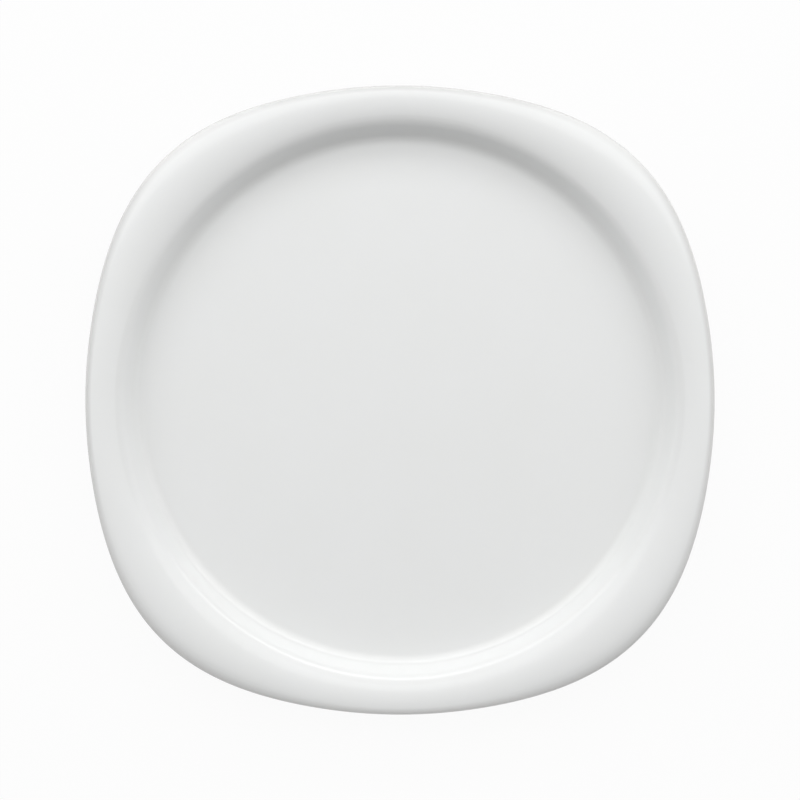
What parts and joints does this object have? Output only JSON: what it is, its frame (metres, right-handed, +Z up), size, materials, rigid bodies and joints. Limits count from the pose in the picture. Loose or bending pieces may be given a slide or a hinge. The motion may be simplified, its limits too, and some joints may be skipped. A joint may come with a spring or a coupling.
{
  "type": "serving platter",
  "caption": "Low glazed porcelain serving platter with a round, flat-floored well inside a crowned rounded-square rim, standing on a bare round foot ring.",
  "frame": {"origin": "centre of the foot ring's standing face", "axes": "+Z up, out of the well; +X and +Y point at the middles of two neighbouring sides of the rim, so the corners lie at 45 degrees to them; +Y is the top of the picture"},
  "size_m": [0.32, 0.32, 0.0253],
  "materials": {
    "fired_porcelain": "white porcelain fired without glaze, ground flat where it stands",
    "face_glaze": "glossy clear glaze over white porcelain",
    "underside_glaze": "glossy clear glaze over white porcelain"
  },
  "bodies": {
    "root": {"porcelain_body": "fired_porcelain", "foot_ring": "fired_porcelain", "face_glaze": "face_glaze", "underside_glaze": "underside_glaze", "base_glaze": "underside_glaze"}
  },
  "joints": []
}
